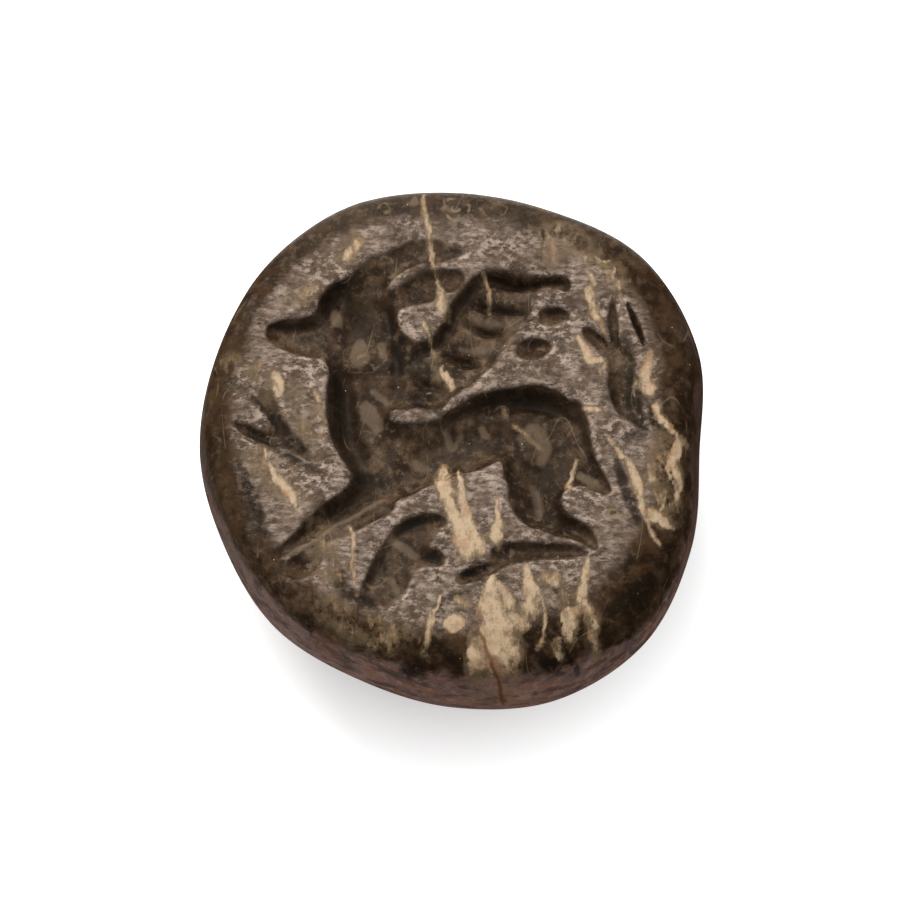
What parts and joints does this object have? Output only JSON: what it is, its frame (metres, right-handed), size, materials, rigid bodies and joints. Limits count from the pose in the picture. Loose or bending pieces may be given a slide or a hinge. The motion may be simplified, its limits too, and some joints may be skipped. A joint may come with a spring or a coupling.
{
  "type": "stamp seal",
  "caption": "Domed stamp seal of brown veined stone: a flat face with a sunken winged beast, a worn round rim and a string hole through the back.",
  "frame": {"origin": "middle of the box round the stone, at the small worn flat at the crown of its domed back, which it rests on", "axes": "+Z out of the engraved sealing face, +X towards the beast's tail and along the string hole, +Y towards the top of the device"},
  "size_m": [0.022, 0.023, 0.011],
  "materials": {
    "stone": "polished brown stone with cream veins, its flat face worn pale and scratched"
  },
  "bodies": {
    "root": {"seal_stone": "stone"}
  },
  "joints": []
}
